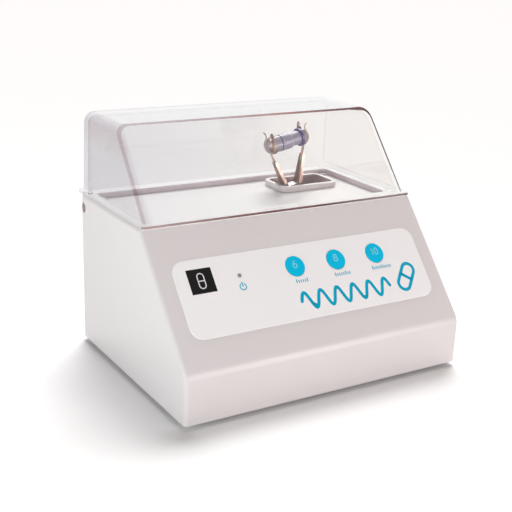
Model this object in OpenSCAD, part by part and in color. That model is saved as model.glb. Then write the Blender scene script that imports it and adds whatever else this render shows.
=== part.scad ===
// Dental amalgamator: a bench-top capsule mixer with a clear hinged lid over an oscillating fork.
// All sizes are in millimetres. X runs to the right, Y to the back and Z up.
// Local measures count from the front face, the lower edge of the housing and the middle of its width.

/* [Housing] */
// Width of the housing
body_w = 220; // [200:1:240]
// Depth of the housing
body_d = 163.5; // [155:0.5:180]
// Height from the lower edge of the housing to the rim under the lid
body_h = 108.5; // [100:0.5:120]
// Height of the upright chin below the slope
chin_h = 33; // [25:1:40]
// Distance of the slope's upper edge behind the front
slope_top_y = 66; // [60:1:72]
// Wall thickness of the moulded housing
wall_t = 3; // [2.6:0.1:3.6]
// Radius of the outer edges
edge_r = 2.5; // [1.5:0.1:4]
// Radius of the bend between chin and slope
chin_r = 12; // [6:1:16]

/* [Deck] */
// Width of the rim at each side of the recessed deck
rim_side = 10; // [8:0.5:14]
// Width of the rim in front of the recessed deck
rim_front = 15; // [10:0.5:20]
// Width of the rim behind the recessed deck
rim_back = 3.2; // [3:0.1:6]
// Depth of the recessed deck below the rim
deck_drop = 4; // [3:0.5:6]
// Thickness of the deck
deck_t = 2.5; // [2:0.1:3]
// Corner radius of the recess
deck_r = 4; // [2:0.5:10]
// Width of the opening that the fork comes through
opening_w = 45; // [42:0.5:47]
// Place of that opening across the machine
opening_x = 60; // [58:0.5:62]
// Depth of that opening
opening_d = 25; // [22:0.5:26]
// Corner radius of that opening
opening_r = 4; // [3:0.5:6]
// Width of the raised collar round the opening
collar_w = 3.2; // [2.6:0.1:4]
// Depth of the skirt that hangs below the deck round the opening
skirt_h = 5; // [3:0.5:6]

/* [Lid] */
// Height of the lid above the rim
lid_h = 58.2; // [55:0.1:70]
// Distance of the lid's upper front edge behind the front
lid_top_y = 114.6; // [108:0.1:120]
// Wall thickness of the clear lid
lid_t = 2.5; // [1.8:0.1:3]
// Radius of the bend between the lid's sides and its top
lid_r = 8; // [5:0.5:10]
// Radius of the lid's other outer edges
lid_edge_r = 2.2; // [1:0.1:2.4]
// Distance from the housing's side to the lid's side wall
lid_inset = 4.1; // [3:0.1:6]
// How far the lid's side and back walls lean in over their height
lid_draft = 1; // [0:0.1:3]
// How far the lid reaches past the back of the housing
lid_overhang = 7.2; // [6:0.1:9]
// Gap between lid and rim
lid_gap = 0.5; // [0.3:0.1:1]
// Thickness of the flange round the lid's lower edge
flange_t = 2; // [1.5:0.1:3]
// Corner radius of that flange
flange_r = 4; // [3:0.5:9]
// How far the flange reaches out over the slope
flange_out = 1.6; // [0:0.1:2]

/* [Hinge] */
// Distance of the hinge axis in front of the back face
hinge_in = 4.1; // [3.8:0.1:5]
// Distance of the hinge axis below the rim
hinge_drop = 9; // [8.6:0.1:10]
// Radius of the hinge pin
pin_r = 2; // [1.5:0.1:2.5]
// Radius of the pin's head
pin_head_r = 3.6; // [3.2:0.1:4]
// Thickness of a hinge lug
lug_t = 5.6; // [4:0.1:6]
// Radius of the lug round the pin
lug_r = 4; // [3.6:0.1:4.2]

/* [Keypad] */
// Width of the keypad overlay
overlay_w = 195; // [180:1:204]
// Height of the overlay along the slope
overlay_h = 53.5; // [50:0.5:60]
// Distance of the overlay's lower edge from the foot of the slope
overlay_s = 21.5; // [18:0.5:24]
// Thickness of the overlay
overlay_t = 0.6; // [0.3:0.1:1]
// Corner radius of the overlay
overlay_r = 9; // [5:0.5:12]
// Diameter of a round button
button_d = 14.5; // [12:0.5:17]
// How far a button stands out of the slope
button_out = 0.9; // [0.8:0.1:1.6]
// Travel of a button
button_travel = 0.5; // [0.3:0.1:0.8]
// Distance of the buttons and the lamp from the foot of the slope
button_s = 59.2; // [54:0.1:62]
// Place of the first button across the slope
button_x = -7.8; // [-12:0.1:-4]
// Distance from one button to the next
button_pitch = 33.6; // [28:0.1:36]
// Place of the lamp across the slope
lamp_x = -51.2; // [-56:0.1:-40]
// Diameter of the lamp
lamp_d = 2.8; // [2:0.1:4]

/* [Fork] */
// Place of the fork's pivot across the machine
pivot_x = 57; // [56:0.5:60]
// Distance of the pivot in front of the back face
pivot_in = 27.5; // [26.5:0.1:29]
// Distance of the pivot below the rim
pivot_drop = 32; // [30.5:0.5:34]
// Lean of the fork at rest, and tilt of the oblique sleeve
fork_lean = 10.5; // [8:0.5:12]
// Distance from the pivot to the capsule's axis
capsule_w = 65.1; // [62:0.1:66]
// Splay of each arm
arm_splay = 16.5; // [15:0.5:17.5]
// Distance from the pivot to the bend in each arm
arm_bend_w = 27.5; // [27:0.5:30]
// Length of the splayed part of each arm
arm_len = 25; // [24:0.5:27]
// Width of each arm at its root
arm_root_b = 9; // [8.8:0.2:10]
// Width of each arm at its tip
arm_tip_b = 4.4; // [4.2:0.2:6]
// Depth of each arm's side flanges up to the bend
arm_flange = 3; // [2.4:0.1:3.4]
// Depth of each arm's side flanges at its tip
tip_flange = 1.9; // [1.6:0.1:3]
// Thickness of the arm's sheet
arm_t = 0.8; // [0.7:0.1:1]
// Thickness of the claw's spring sheet
claw_t = 0.7; // [0.4:0.1:0.9]
// Width of a claw's petal
petal_b = 6.4; // [5:0.2:7]

/* [Capsule] */
// Length of the capsule
capsule_len = 37; // [35:0.1:38]
// Radius of the capsule's domed ends
dome_r = 6.3; // [6:0.1:6.6]
// Radius of the capsule's thick middle
barrel_r = 6.4; // [6.2:0.1:6.8]
// Radius of the capsule's slim stretch
neck_r = 5.3; // [5:0.1:5.8]
// Radius of the cap's rim
rim_r = 7; // [6.6:0.1:7.4]

/* [Drive] */
// Radius of the drive shaft
shaft_r = 3; // [2.5:0.1:3.2]
// Radius of the motor can
motor_r = 22; // [20:0.5:22.5]
// Length of the motor can
motor_len = 65; // [55:1:70]
// Outer radius of the fork bearing
bearing_r = 14; // [13:0.5:15]
// Width of the fork bearing
bearing_b = 8; // [6:0.5:9]
// Radius of the ball-shaped inner ring
inner_r = 9.4; // [9:0.1:9.8]

/* [Base] */
// Thickness of the base plate
base_t = 2; // [1.5:0.1:3]
// Height of the rubber feet below the housing
foot_h = 3; // [2.6:0.1:6]
// Radius of the rubber feet
foot_r = 8; // [6:0.5:10]
// Height of the rubber isolators under the motor bracket
isolator_h = 8; // [6:0.5:10]

/* [Back] */
// Place of the mains inlet across the back
inlet_x = -70; // [-74:1:-66]
// Place of the fuse holder across the back
fuse_x = -36; // [-40:1:-32]
// Place of the power switch across the back
switch_x = -8; // [-12:1:-4]
// Height of the inlet, fuse holder and switch above the lower edge
socket_z = 28; // [24:0.5:34]
// How far the power rocker tips to each side
rocker_tip = 8; // [4:0.5:9]

/* [Hidden] */
$fn = 64;
hull_fn = 32;
eps = 0.01;
// Gap between moving neighbours, and radial clearance of a running fit
gap = 0.3;
fit = 0.05;

overall_d = body_d + lid_overhang;
slope_angle = atan2(body_h - chin_h, slope_top_y);
hinge_y = body_d - hinge_in;
hinge_z = body_h - hinge_drop;
pivot_y = body_d - pivot_in;
pivot_z = body_h - pivot_drop;
deck_z = body_h - deck_drop;
deck_under_z = deck_z - deck_t;
recess_w = body_w - 2 * rim_side;
recess_front = slope_top_y + rim_front;
recess_d = body_d - rim_back - recess_front;
lid_z = body_h + lid_gap;
lid_lean = atan2(lid_h, lid_top_y - slope_top_y);
// Hinge lug, from the inner side of each side wall
side_pad_t = 0.6;
lug_x = body_w / 2 - wall_t - side_pad_t - gap - lug_t;
inner_boss_t = 6;
pin_head_t = 1.7;
pin_sink = 2;

colour_case = [0.93, 0.92, 0.91];
colour_metal = [0.80, 0.71, 0.65];
colour_steel = [0.70, 0.71, 0.72];
colour_dark = [0.16, 0.14, 0.16];
colour_cyan = [0.05, 0.66, 0.80];
colour_capsule = [0.64, 0.58, 0.70];

// Puts local measures into the part's frame: the origin lies under the middle of the outline
module placed() {
    translate([0, -overall_d / 2, foot_h]) children();
}

// Frame of the slope: X across, Y up the slope, Z out of it
module on_slope() {
    translate([0, 0, chin_h]) rotate([slope_angle, 0, 0]) children();
}

// Frame of the drive: origin at the pivot
module at_pivot() {
    translate([pivot_x, pivot_y, pivot_z]) children();
}

// Frame of the fork at rest, leaning to the left
module in_fork() {
    at_pivot() rotate([0, -fork_lean, 0]) children();
}

// The same child at both sides
module both_sides() {
    children();
    mirror([1, 0, 0]) children();
}

module rounded_rect(w, d, r) {
    square([w - 2 * r, d], center = true);
    square([w, d - 2 * r], center = true);
    for (sx = [-1, 1], sy = [-1, 1])
        translate([sx * (w / 2 - r), sy * (d / 2 - r)]) circle(r);
}

module x_cylinder(r, x0, x1) {
    translate([x0, 0, 0]) rotate([0, 90, 0]) cylinder(r = r, h = x1 - x0);
}

// Turns an outline about the X axis: its own Y runs along X
module turned() {
    rotate([0, 90, 0]) rotate_extrude() children();
}

// Housing: a shell with chin, slope and deck, closed below by the base plate
bend_angle = 90 + slope_angle;
bend_centre = [chin_r, chin_h - chin_r * (1 - sin(slope_angle)) / cos(slope_angle)];
crest_z = body_h - edge_r;
crest_y = (edge_r + (crest_z - chin_h) * cos(slope_angle)) / sin(slope_angle);
bend_steps = 5;

module corner_balls(y, z) {
    for (side = [-1, 1])
        translate([side * (body_w / 2 - edge_r), y, z]) sphere(edge_r, $fn = hull_fn);
}

module housing_skin() {
    hull() {
        for (side = [-1, 1], y = [edge_r, body_d - edge_r])
            translate([side * (body_w / 2 - edge_r), y, 0]) cylinder(r = edge_r, h = 1, $fn = hull_fn);
        corner_balls(body_d - edge_r, crest_z);
        corner_balls(crest_y, crest_z);
        for (k = [0 : bend_steps]) {
            a = 180 - (180 - bend_angle) * k / bend_steps;
            corner_balls(bend_centre[0] + (chin_r - edge_r) * cos(a),
                         bend_centre[1] + (chin_r - edge_r) * sin(a));
        }
    }
}

// Outline of the hollow, parallel to the chin, slope, rim and back
function slope_y_at(z, inset) = (inset + (z - chin_h) * cos(slope_angle)) / sin(slope_angle);
hollow_top = body_h - wall_t;
hollow_chin_z = chin_h + (wall_t * sin(slope_angle) - wall_t) / cos(slope_angle);

module hollow() {
    translate([-(body_w / 2 - wall_t), 0, 0]) rotate([90, 0, 90])
        linear_extrude(body_w - 2 * wall_t)
            polygon([[wall_t, -1], [wall_t, hollow_chin_z], [slope_y_at(hollow_top, wall_t), hollow_top],
                     [body_d - wall_t, hollow_top], [body_d - wall_t, -1]]);
}

module at_recess(z) {
    translate([0, recess_front + recess_d / 2, z]) children();
}

module at_opening(z) {
    translate([opening_x, pivot_y, z]) children();
}

// Screw posts for the base plate, fused to the side walls
post_r = 4.5;
post_h = 20;
post_x = body_w / 2 - wall_t - post_r + 0.5;
post_front = wall_t + post_r - 0.5;
base_screw_r = 1.5;
base_screw_len = 12;

module at_posts() {
    for (side = [-1, 1], y = [post_front, body_d - post_front])
        translate([side * post_x, y, 0]) children();
}

// Bosses behind the slope that carry the control board
board_drop = 7.9;
board_t = 1.6;
board_screw_r = 1.25;
board_x = [-60, 76];
board_s = [30, 68];
boss_r = 3.5;

module at_board_holes() {
    for (x = board_x, s = board_s)
        translate([x, s, 0]) children();
}

// Slots in the back wall that let warm air out
vent_count = 9;
vent_pitch = 8;
vent_w = 3;
vent_h = 34;
vent_x = 22;
vent_z = 20;

// Cut-outs in the back wall
inlet_w = 27;
inlet_h = 19.6;
fuse_r = 6.2;
switch_w = 14;
switch_h = 20;
cut_gap = 0.2;

// Room for a lug: open to the back, and notched through the rim's back edge
slot_low = 13.2;
slot_ceiling = 6;
module hinge_slot() {
    translate([lug_x - gap, hinge_y - lug_r - gap, hinge_z - slot_low])
        cube([lug_t + 2 * gap, body_d, slot_low + slot_ceiling]);
    translate([lug_x - gap, body_d - wall_t - 0.2, hinge_z - slot_low])
        cube([lug_t + 2 * gap, body_d, slot_low + hinge_drop + 1]);
}

module hinge_bosses() {
    boss_y = hinge_y - 5;
    translate([lug_x - gap - inner_boss_t, boss_y, hinge_z - 6])
        cube([inner_boss_t, body_d - wall_t - boss_y + eps, hollow_top - hinge_z + 6 + eps]);
    translate([lug_x + lug_t + gap, hinge_y, hinge_z])
        rotate([0, 90, 0]) cylinder(r = hinge_in - 0.1, h = side_pad_t + eps);
}

module button_places() {
    for (k = [0 : 2])
        translate([button_x + k * button_pitch, button_s, 0]) children();
}

button_hole_r = button_d / 2 + gap;
stem_r = 3;
button_sink = button_travel + 0.5;

module housing() {
    color(colour_case) placed() difference() {
        union() {
            difference() {
                housing_skin();
                difference() {
                    hollow();
                    at_recess(deck_under_z) linear_extrude(deck_drop + deck_t)
                        rounded_rect(recess_w + 2 * wall_t, recess_d + 2 * wall_t, deck_r + wall_t);
                }
                at_recess(deck_z) linear_extrude(deck_drop + 1) rounded_rect(recess_w, recess_d, deck_r);
            }
            at_opening(deck_under_z - skirt_h) linear_extrude(body_h - deck_under_z + skirt_h)
                rounded_rect(opening_w + 2 * collar_w, opening_d + 2 * collar_w, opening_r + collar_w);
            at_posts() translate([0, 0, base_t]) cylinder(r = post_r, h = post_h);
            on_slope() at_board_holes() translate([0, 0, -board_drop]) cylinder(r = boss_r, h = board_drop - wall_t + eps);
            both_sides() hinge_bosses();
            sensor_rib();
        }
        at_opening(deck_under_z - skirt_h - 1) linear_extrude(body_h)
            rounded_rect(opening_w, opening_d, opening_r);
        at_posts() translate([0, 0, base_t - 1]) cylinder(r = base_screw_r, h = base_screw_len + 1);
        on_slope() {
            at_board_holes() translate([0, 0, -board_drop - 1]) cylinder(r = board_screw_r, h = board_drop - 1);
            button_places() {
                translate([0, 0, -button_sink - gap]) cylinder(r = button_hole_r, h = 10);
                translate([0, 0, -10]) cylinder(r = stem_r + gap, h = 20);
            }
            translate([lamp_x, button_s, -10]) cylinder(r = lamp_d / 2 + fit, h = 20);
        }
        both_sides() hinge_slot();
        both_sides() translate([0, hinge_y, hinge_z]) {
            x_cylinder(pin_r, lug_x - gap - inner_boss_t - 1, body_w / 2 + 1);
            x_cylinder(pin_head_r + 0.15, body_w / 2 - pin_sink, body_w / 2 + 1);
        }
        for (k = [0 : vent_count - 1])
            translate([vent_x + k * vent_pitch, body_d - wall_t - 1, vent_z]) cube([vent_w, wall_t + 2, vent_h]);
        translate([inlet_x - inlet_w / 2 - cut_gap, body_d - wall_t - 1, socket_z - inlet_h / 2 - cut_gap])
            cube([inlet_w + 2 * cut_gap, wall_t + 2, inlet_h + 2 * cut_gap]);
        translate([switch_x - switch_w / 2 - cut_gap, body_d - wall_t - 1, socket_z - switch_h / 2 - cut_gap])
            cube([switch_w + 2 * cut_gap, wall_t + 2, switch_h + 2 * cut_gap]);
        translate([fuse_x, body_d + 1, socket_z]) rotate([90, 0, 0]) cylinder(r = fuse_r + cut_gap / 2, h = wall_t + 2);
    }
}

// Base plate: folded-flat sheet inside the housing's lower edge, held by four screws
module base_plate() {
    color(colour_steel) placed() difference() {
        translate([0, body_d / 2, 0]) linear_extrude(base_t)
            rounded_rect(body_w - 2 * wall_t - 2 * gap, body_d - 2 * wall_t - 2 * gap, 3);
        at_posts() translate([0, 0, -1]) cylinder(r = base_screw_r + gap, h = base_t + 2);
        at_feet() translate([0, 0, -1]) cylinder(r = foot_stem_r, h = base_t + 2);
        at_isolators() translate([0, 0, -1]) cylinder(r = isolator_bolt_r, h = base_t + 2);
        at_transformer_screws() translate([0, 0, -1]) cylinder(r = small_screw_r, h = base_t + 2);
        at_power_board_holes() translate([0, 0, -1]) cylinder(r = small_screw_r, h = base_t + 2);
        for (k = [0 : 7])
            translate([-20 + k * 8, 20, -1]) cube([3, 26, base_t + 2]);
    }
}

module base_screws() {
    color(colour_steel) placed() at_posts() {
        cylinder(r = base_screw_r, h = base_t + base_screw_len - 1);
        translate([0, 0, -1.6]) cylinder(r1 = 2.4, r2 = 3, h = 1.6);
    }
}

// Rubber feet: a disc with a stem that snaps through the plate
foot_stem_r = 2.5;
foot_x = 86;
foot_in = 24;

module at_feet() {
    for (side = [-1, 1], y = [foot_in, body_d - foot_in])
        translate([side * foot_x, y, 0]) children();
}

module feet() {
    color(colour_dark) placed() at_feet() rotate_extrude()
        polygon([[0, -foot_h], [foot_r - 1, -foot_h], [foot_r, 0], [foot_stem_r, 0], [foot_stem_r, base_t],
                 [foot_stem_r + 1, base_t], [foot_stem_r - 0.6, base_t + 2.4], [0, base_t + 2.4]]);
}

// Keypad: overlay film, three keys, lamp and the board behind the slope
module keypad_overlay() {
    color([0.93, 0.89, 0.89]) placed() on_slope() difference() {
        translate([0, overlay_s + overlay_h / 2, 0]) linear_extrude(overlay_t)
            rounded_rect(overlay_w, overlay_h, overlay_r);
        button_places() translate([0, 0, -1]) cylinder(r = button_hole_r, h = overlay_t + 2);
        translate([lamp_x, button_s, -1]) cylinder(r = lamp_d / 2 + fit, h = overlay_t + 2);
    }
}

key_switch_h = 1.9;
stem_len = board_drop - key_switch_h - button_sink - gap;

module key(k) {
    color(colour_cyan) placed() on_slope() translate([button_x + k * button_pitch, button_s, 0]) {
        translate([0, 0, -button_sink + button_travel]) cylinder(r = button_d / 2, h = button_sink - button_travel + button_out);
        translate([0, 0, -button_sink - stem_len + button_travel]) cylinder(r = stem_r, h = stem_len + eps);
    }
}

module button_6s() { key(0); }

module button_8s() { key(1); }

module button_10s() { key(2); }

module status_lamp() {
    color([0.62, 0.62, 0.62]) placed() on_slope() translate([lamp_x, button_s, -board_drop]) {
        cylinder(r = lamp_d / 2, h = board_drop + overlay_t + 0.2);
        cylinder(r = lamp_d / 2 + 0.6, h = 2);
    }
}

module control_board() {
    color([0.10, 0.40, 0.22]) placed() on_slope() difference() {
        translate([board_x[0] - 6, board_s[0] - 6, -board_drop - board_t])
            cube([board_x[1] - board_x[0] + 12, board_s[1] - board_s[0] + 12, board_t]);
        at_board_holes() translate([0, 0, -board_drop - board_t - 1]) cylinder(r = board_screw_r + 0.25, h = board_t + 2);
    }
}

module key_switches() {
    color(colour_dark) placed() on_slope() button_places() {
        translate([-3, -3, -board_drop]) cube([6, 6, key_switch_h - 0.4]);
        translate([0, 0, -board_drop]) cylinder(r = 1.6, h = key_switch_h);
    }
}

module board_screws() {
    color(colour_steel) placed() on_slope() at_board_holes() {
        translate([0, 0, -board_drop - board_t - 1.8]) cylinder(r = 2.6, h = 1.8);
        translate([0, 0, -board_drop - board_t]) cylinder(r = board_screw_r, h = board_t + board_drop - 3);
    }
}

// Lid: a clear shell that leans back with the slope, with a flange and two hinge lugs
lid_low = -8;
lid_inner_r = 0.8;
lid_fn = 24;
lid_steps = 6;

function lid_half_w(z) = body_w / 2 - lid_inset - lid_draft * (z - body_h) / lid_h;
function lid_back_y(z) = overall_d - lid_draft * (z - body_h) / lid_h;
function lid_front_y(z, depth) = slope_top_y + (depth + (z - body_h) * cos(lid_lean)) / sin(lid_lean);

// Places of the rounding balls of one corner: below, then round the bend between side and top
function lid_ball_places(depth) = concat([[lid_half_w(body_h + lid_low) - depth, body_h + lid_low]],
    [for (k = [0 : lid_steps]) let (a = 90 * k / lid_steps, z = body_h + lid_h - lid_r + (lid_r - depth) * sin(a))
        [lid_half_w(z) - lid_r + (lid_r - depth) * cos(a), z]]);

// Convex body so far inside the lid's outer faces, rounded by balls of one radius
module lid_skin(inside, r) {
    depth = inside + r;
    hull() for (p = lid_ball_places(depth), side = [-1, 1], y = [lid_front_y(p[1], depth), lid_back_y(p[1]) - depth])
        translate([side * p[0], y, p[1]]) sphere(r, $fn = lid_fn);
}

module lid_lug() {
    translate([lug_x, hinge_y, hinge_z]) rotate([90, 0, 90]) linear_extrude(lug_t) difference() {
        union() {
            circle(lug_r);
            polygon([[-2.6, 3], [lid_overhang + hinge_in - lid_t, hinge_drop + lid_gap + flange_t],
                     [lid_overhang + hinge_in - 0.2, hinge_drop + lid_gap + flange_t],
                     [lid_overhang + hinge_in - 0.2, 6], [2.6, -3]]);
        }
        circle(pin_r + fit);
    }
}

flange_front = slope_top_y - flange_out;
module lid() {
    color([0.86, 0.90, 0.92, 0.35]) placed() difference() {
        union() {
            difference() {
                union() {
                    lid_skin(0, lid_edge_r);
                    translate([0, (flange_front + overall_d) / 2, lid_z]) linear_extrude(flange_t)
                        rounded_rect(body_w, overall_d - flange_front, flange_r);
                }
                lid_skin(lid_t, lid_inner_r);
                translate([-body_w, -body_d, lid_z - body_h]) cube([2 * body_w, 3 * body_d, body_h]);
            }
            both_sides() lid_lug();
        }
        at_magnet() x_cylinder(magnet_r + fit, -1, magnet_t);
    }
}

// A magnet glued into a pocket of the left lug tells the sensor on the back wall that the lid is shut
magnet_r = 2;
magnet_t = 2;
module at_magnet() {
    mirror([1, 0, 0]) translate([lug_x, body_d + magnet_r + 0.9, lid_z - magnet_r - 0.9]) children();
}

module lid_magnet() {
    color(colour_steel) placed() at_magnet() x_cylinder(magnet_r, 0, magnet_t);
}

sensor_b = 14;
sensor_h = 6;
sensor_t = 4;
rib_t = 2;
sensor_x = lug_x - gap - inner_boss_t - sensor_b - 1;
module sensor_rib() {
    mirror([1, 0, 0]) translate([sensor_x - 1, body_d - wall_t - rib_t, deck_under_z - sensor_h - 2])
        cube([sensor_b + 2 + eps, rib_t + eps, sensor_h + 2 + eps]);
}

module lid_sensor() {
    color(colour_dark) placed() mirror([1, 0, 0])
        translate([sensor_x, body_d - wall_t - rib_t - sensor_t, deck_under_z - sensor_h - 1])
            cube([sensor_b, sensor_t, sensor_h]);
}

module hinge_pins() {
    color(colour_dark) placed() both_sides() translate([0, hinge_y, hinge_z]) {
        x_cylinder(pin_r, lug_x - gap - inner_boss_t, body_w / 2 - pin_sink + eps);
        x_cylinder(pin_head_r, body_w / 2 - pin_sink, body_w / 2 - pin_sink + pin_head_t);
    }
}

// Motor and its bracket, left of the fork, with the shaft's end bearing to its right
bracket_t = 2;
bracket_left = -29;
bracket_right = 26;
bracket_b = 46;
bracket_low = base_t + isolator_h - pivot_z;
bracket_clear = 2;
bracket_top = deck_under_z - skirt_h - bracket_clear - pivot_z;
motor_face = bracket_left - bracket_t / 2;
motor_boss_r = 8.75;
motor_boss_t = 4;
can_t = 1.5;
end_cap_t = 4;
bracket_span = bracket_right - bracket_left;
bracket_mid = (bracket_right + bracket_left) / 2;
bend_r = 4;

module motor_bracket() {
    color(colour_steel) placed() at_pivot() difference() {
        translate([bracket_mid, bracket_b / 2, 0]) rotate([90, 0, 0]) linear_extrude(bracket_b) difference() {
            translate([0, (bracket_top + bracket_low) / 2])
                square([bracket_span + bracket_t, bracket_top - bracket_low], center = true);
            translate([0, bracket_t]) bracket_inside();
        }
        x_cylinder(motor_boss_r + gap, bracket_left - 5, bracket_left + 5);
        x_cylinder(end_bearing_r, bracket_right - 5, bracket_right + 5);
        at_motor_screws() x_cylinder(motor_screw_r, bracket_left - 5, bracket_left + 5);
        at_cup_screws() x_cylinder(cup_screw_r, bracket_right - 5, bracket_right + 5);
        translate([-pivot_x, -pivot_y, -pivot_z]) at_isolators() cylinder(r = isolator_bolt_r, h = 40);
        translate([spring_foot_x, 0, bracket_low - 1]) cylinder(r = post_stem_r, h = bracket_t + 2);
    }
}

module bracket_inside() {
    inside_w = bracket_span - bracket_t;
    translate([0, (bracket_top + bracket_low) / 2 + bend_r]) square([inside_w, bracket_top - bracket_low], center = true);
    translate([0, (bracket_top + bracket_low) / 2]) square([inside_w - 2 * bend_r, bracket_top - bracket_low], center = true);
    for (side = [-1, 1])
        translate([side * (inside_w / 2 - bend_r), bracket_low + bend_r]) circle(bend_r);
}

motor_screw_r = 1.5;
module at_motor_screws() {
    for (side = [-1, 1]) translate([0, side * 14, 0]) children();
}

module motor_can() {
    color(colour_steel) placed() at_pivot() difference() {
        union() {
            x_cylinder(motor_r, motor_face - motor_len, motor_face);
            x_cylinder(motor_boss_r, motor_face - 1, motor_face + motor_boss_t);
        }
        x_cylinder(motor_r - can_t, motor_face - motor_len - 1, motor_face - can_t - 2);
        x_cylinder(shaft_r + fit, motor_face - 10, motor_face + 10);
        at_motor_screws() x_cylinder(motor_screw_r, motor_face - 10, motor_face + 1);
    }
}

module motor_end_cap() {
    cap_x = motor_face - motor_len;
    color(colour_dark) placed() at_pivot() difference() {
        union() {
            x_cylinder(motor_r, cap_x - end_cap_t, cap_x);
            x_cylinder(7, cap_x - end_cap_t - 3, cap_x);
        }
        x_cylinder(shaft_r + fit, cap_x - end_cap_t - 1.5, cap_x + 1);
        for (side = [-1, 1])
            translate([cap_x - end_cap_t - 1, side * 14 - 2.5, -4]) cube([end_cap_t + 2, 5, 8]);
    }
}

module motor_rotor() {
    color([0.45, 0.45, 0.47]) placed() at_pivot() difference() {
        union() {
            x_cylinder(motor_r - can_t - 1.2, motor_face - motor_len + 14, motor_face - 8);
            x_cylinder(9, motor_face - motor_len + 3, motor_face - motor_len + 15);
        }
        x_cylinder(shaft_r, motor_face - motor_len - 1, motor_face + 1);
        for (k = [0 : 6])
            rotate([360 / 7 * k, 0, 0]) translate([motor_face - motor_len + 13.5, -1, motor_r - can_t - 5.2])
                cube([motor_len, 2, 6]);
    }
}

module motor_screws() {
    color(colour_steel) placed() at_pivot() at_motor_screws() {
        x_cylinder(motor_screw_r, motor_face - 3, bracket_left + bracket_t / 2);
        x_cylinder(2.75, bracket_left + bracket_t / 2, bracket_left + bracket_t / 2 + 2.2);
    }
}

// End bearing in a cup on the bracket's right upright
end_bearing_r = 9.5;
end_bearing_b = 6;
cup_r = 15;
cup_t = 4;
cup_screw_r = 1.25;
cup_left = bracket_right - bracket_t / 2 - cup_t;

module at_cup_screws() {
    for (k = [0 : 2]) rotate([120 * k, 0, 0]) translate([0, 0, 12.25]) children();
}

module bearing_cup() {
    color([0.75, 0.76, 0.77]) placed() at_pivot() difference() {
        x_cylinder(cup_r, cup_left, cup_left + cup_t);
        x_cylinder(end_bearing_r, cup_left + 0.8, cup_left + cup_t + 1);
        x_cylinder(end_bearing_r - 2, cup_left - 1, cup_left + cup_t);
        at_cup_screws() x_cylinder(cup_screw_r, cup_left - 1, cup_left + cup_t + 1);
    }
}

module end_bearing() {
    color([0.78, 0.79, 0.80]) placed() at_pivot() difference() {
        x_cylinder(end_bearing_r, cup_left + 0.8, cup_left + 0.8 + end_bearing_b);
        x_cylinder(shaft_r + fit, cup_left - 1, cup_left + end_bearing_b + 2);
    }
}

module cup_screws() {
    color(colour_steel) placed() at_pivot() at_cup_screws() {
        x_cylinder(cup_screw_r, cup_left, bracket_right + bracket_t / 2 + 1);
        x_cylinder(2.2, cup_left - 1.6, cup_left);
    }
}

// Rubber isolators between base plate and bracket
isolator_r = 6;
isolator_bolt_r = 2;
module at_isolators() {
    for (x = [bracket_left + 10, bracket_right - 10], side = [-1, 1])
        translate([pivot_x + x, pivot_y + side * (bracket_b / 2 - 7), 0]) children();
}

module isolators() {
    color(colour_dark) placed() at_isolators() translate([0, 0, base_t]) difference() {
        union() {
            cylinder(r = isolator_r, h = isolator_h / 4);
            cylinder(r = isolator_r - 1.5, h = isolator_h);
            translate([0, 0, isolator_h * 3 / 4]) cylinder(r = isolator_r, h = isolator_h / 4);
        }
        translate([0, 0, -1]) cylinder(r = isolator_bolt_r, h = isolator_h + 2);
    }
}

module isolator_bolts() {
    color(colour_steel) placed() at_isolators() {
        cylinder(r = isolator_bolt_r, h = base_t + isolator_h + bracket_t);
        translate([0, 0, base_t + isolator_h + bracket_t]) cylinder(r = 3.5, h = 2.6, $fn = 6);
    }
}

// Drive line: shaft, oblique sleeve and the inner ring of the fork bearing
shaft_left = motor_face - motor_len - end_cap_t - 1;
shaft_right = cup_left + 0.8 + end_bearing_b + 1;
sleeve_r = 5.5;
collar_r = 6.5;
collar_in = 5.8;
collar_out = 12;

module drive_shaft() {
    color([0.74, 0.75, 0.76]) placed() at_pivot() x_cylinder(shaft_r, shaft_left, shaft_right);
}

module oblique_sleeve() {
    color([0.68, 0.66, 0.62]) placed() at_pivot() difference() {
        union() {
            rotate([0, -fork_lean, 0]) x_cylinder(sleeve_r, -bearing_b / 2 - 2.4, bearing_b / 2 + 2.4);
            x_cylinder(collar_r, -collar_out, -collar_in);
            x_cylinder(collar_r, collar_in, collar_out);
        }
        x_cylinder(shaft_r, -collar_out - 1, collar_out + 1);
        translate([-(collar_in + collar_out) / 2, 0, 0]) cylinder(r = set_screw_r, h = 20);
    }
}

set_screw_r = 1.5;
module sleeve_set_screw() {
    color(colour_dark) placed() at_pivot() translate([-(collar_in + collar_out) / 2, 0, shaft_r])
        cylinder(r = set_screw_r, h = collar_r - shaft_r - 0.4);
}

module fork_bearing_inner() {
    color([0.80, 0.81, 0.82]) placed() in_fork() turned() intersection() {
        circle(inner_r);
        translate([sleeve_r, -bearing_b / 2]) square([inner_r, bearing_b]);
    }
}

// Fork: hub with the bearing's outer ring, two channel arms, two claws and the capsule
hub_r = 18;
hub_b = 10;
arm_u = 6.6;
neck_t = arm_u - arm_t;
neck_b = arm_root_b - 2 * arm_t - 0.4;
neck_top = arm_bend_w + 3;
lip_t = 0.9;
arm_bolt_r = 1;
arm_bolt_w = 23;
arm_bolt_y = 2.1;
tail_w = 24;
spigot_r = 1.9;
spigot_h = 3;

module at_arm_bolts() {
    for (side = [-1, 1]) translate([0, side * arm_bolt_y, arm_bolt_w]) children();
}

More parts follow.
